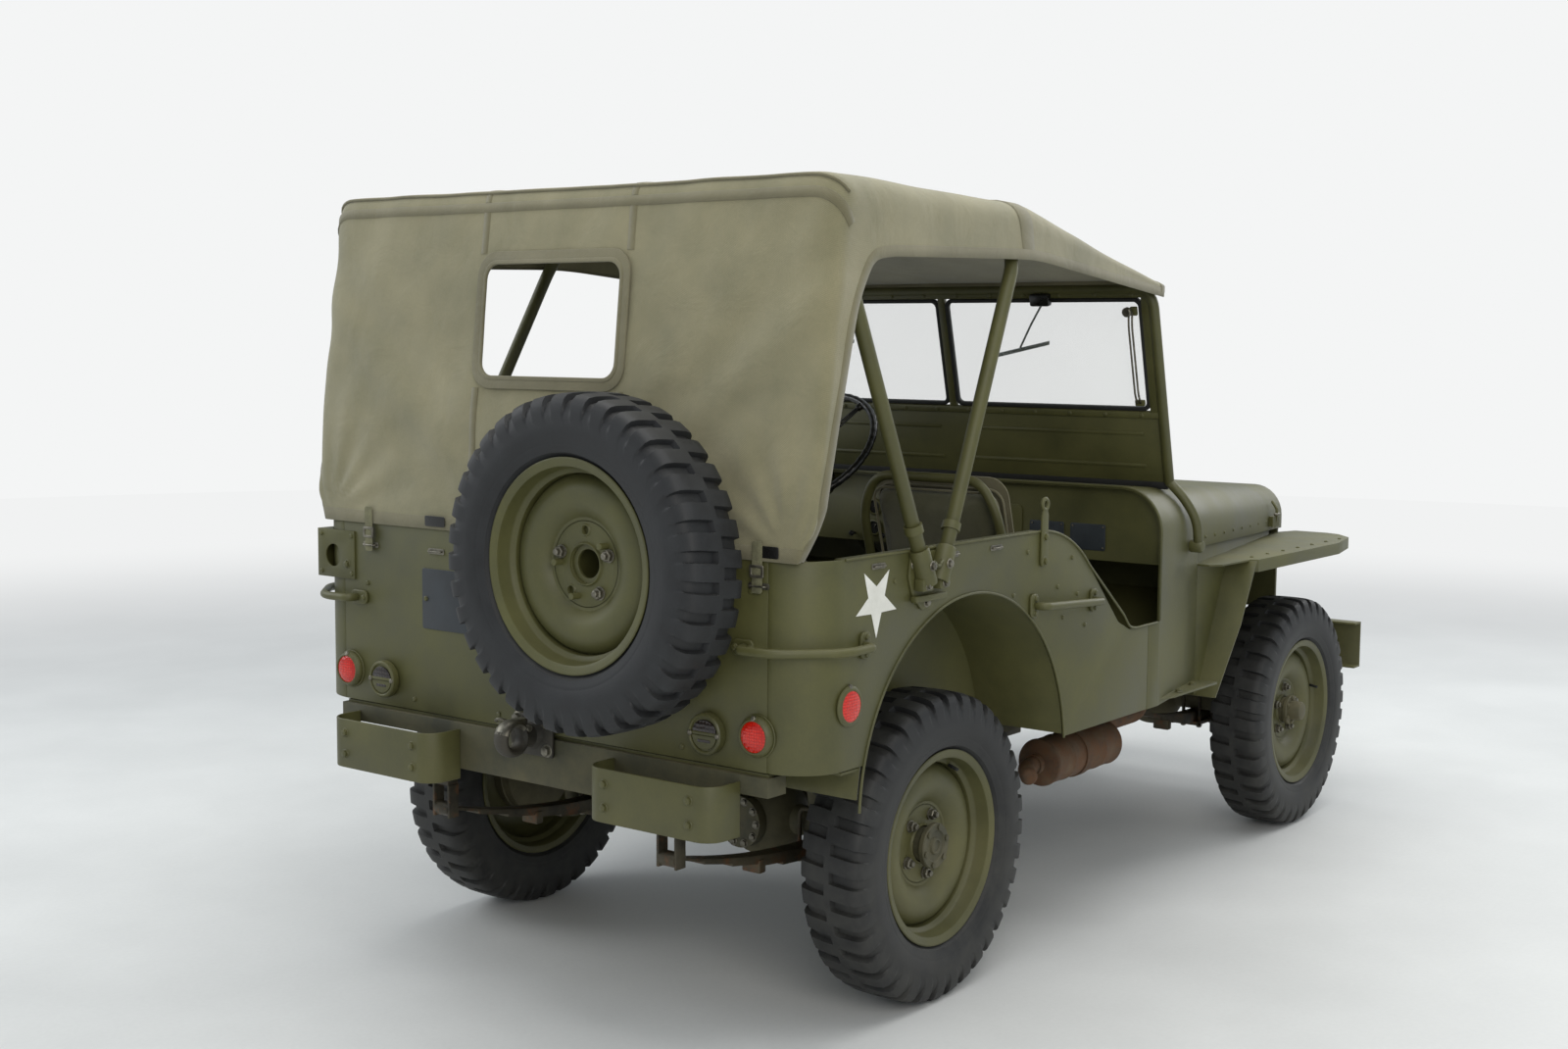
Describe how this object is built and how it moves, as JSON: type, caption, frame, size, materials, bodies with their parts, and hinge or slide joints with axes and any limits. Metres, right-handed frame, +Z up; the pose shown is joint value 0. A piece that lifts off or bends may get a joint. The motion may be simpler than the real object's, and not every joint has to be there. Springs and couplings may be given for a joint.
{
  "type": "army 4x4 car",
  "caption": "Light open military 4x4 car with a canvas top on bows, steered front wheels, opening hood and a rear-mounted spare wheel.",
  "frame": {"origin": "on the ground, at the middle of the vehicle's box", "axes": "+X forward, +Y to the left, +Z up"},
  "size_m": [3.35, 1.591, 1.8123],
  "materials": {
    "green_paint": "dull olive drab",
    "tyre_rubber": "dressed black",
    "canvas": "woven duck, olive grey",
    "bare_steel": "dull, slightly rusty",
    "black_plastic": "satin",
    "window_glass": "clear",
    "red_lens": "ribbed"
  },
  "bodies": {
    "body": {"frame": "green_paint", "front_bumper": "green_paint", "rear_bumperettes": "green_paint", "tow_hook": "bare_steel", "leaf_springs": "bare_steel", "shock_absorbers": "green_paint", "front_axle": "green_paint", "rear_axle": "green_paint", "spare_wheel": "green_paint", "spare_tyre": "tyre_rubber", "engine_block": "bare_steel", "gearbox": "bare_steel", "propeller_shafts": "bare_steel", "exhaust": "bare_steel", "steering_column": "green_paint", "grille": "green_paint", "radiator": "bare_steel", "front_fenders": "green_paint", "cowl": "green_paint", "windscreen_frame": "green_paint", "windscreen_glass": "window_glass", "tub_floor": "green_paint", "body_sides": "green_paint", "rear_panel": "green_paint", "driver_seat": "canvas", "rear_seat": "canvas", "fuel_tank": "green_paint", "canvas_top": "canvas", "top_bows": "green_paint", "rear_lamps": "red_lens", "grab_handles": "green_paint", "antenna_bracket": "green_paint"},
    "front_left_wheel": {"wheel_front_left": "green_paint", "tyre_front_left": "tyre_rubber"},
    "front_right_wheel": {"wheel_front_right": "green_paint", "tyre_front_right": "tyre_rubber"},
    "rear_left_wheel": {"wheel_rear_left": "green_paint", "tyre_rear_left": "tyre_rubber"},
    "rear_right_wheel": {"wheel_rear_right": "green_paint", "tyre_rear_right": "tyre_rubber"},
    "left_knuckle": {"knuckle_left": "green_paint"},
    "right_knuckle": {"knuckle_right": "green_paint"},
    "tie_rod_link": {"tie_rod": "bare_steel"},
    "steering_hand_wheel": {"steering_wheel": "black_plastic"},
    "hood_lid": {"hood": "green_paint"},
    "passenger_seat_frame": {"passenger_seat": "canvas"}
  },
  "joints": [
    {"name": "steer_left", "type": "hinge", "parent": "body", "child": "left_knuckle", "pos_m": [1.147, 0.5, 0.35], "axis": [0, 0, 1], "range_deg": [-28, 28]},
    {"name": "steer_right", "type": "hinge", "parent": "body", "child": "right_knuckle", "pos_m": [1.147, -0.5, 0.35], "axis": [0, 0, 1], "range_deg": [-28, 28]},
    {"name": "tie_rod_swing", "type": "hinge", "parent": "left_knuckle", "child": "tie_rod_link", "pos_m": [1.017, 0.5, 0.391], "axis": [0, 0, 1], "range_deg": [-28, 28]},
    {"name": "steering_wheel_turn", "type": "hinge", "parent": "body", "child": "steering_hand_wheel", "pos_m": [-0.035, 0.335, 1.17], "axis": [-0.7071, 0, 0.7071], "range_deg": [-400, 400]},
    {"name": "front_left_spin", "type": "hinge", "parent": "left_knuckle", "child": "front_left_wheel", "pos_m": [1.147, 0.6225, 0.35], "axis": [0, 1, 0], "continuous": true},
    {"name": "front_right_spin", "type": "hinge", "parent": "right_knuckle", "child": "front_right_wheel", "pos_m": [1.147, -0.6225, 0.35], "axis": [0, 1, 0], "continuous": true},
    {"name": "rear_left_spin", "type": "hinge", "parent": "body", "child": "rear_left_wheel", "pos_m": [-0.885, 0.6225, 0.35], "axis": [0, 1, 0], "continuous": true},
    {"name": "rear_right_spin", "type": "hinge", "parent": "body", "child": "rear_right_wheel", "pos_m": [-0.885, -0.6225, 0.35], "axis": [0, 1, 0], "continuous": true},
    {"name": "hood_open", "type": "hinge", "parent": "body", "child": "hood_lid", "pos_m": [0.393, 0, 1.09], "axis": [0, -1, 0], "range_deg": [0, 100]},
    {"name": "passenger_seat_tilt", "type": "hinge", "parent": "body", "child": "passenger_seat_frame", "pos_m": [-0.115, -0.4, 0.574], "axis": [0, 1, 0], "range_deg": [0, 45]}
  ],
  "couplings": [
    {"joint": "steer_right", "follows": "steer_left", "ratio": 1},
    {"joint": "tie_rod_swing", "follows": "steer_left", "ratio": -1},
    {"joint": "steering_wheel_turn", "follows": "steer_left", "ratio": 14}
  ]
}
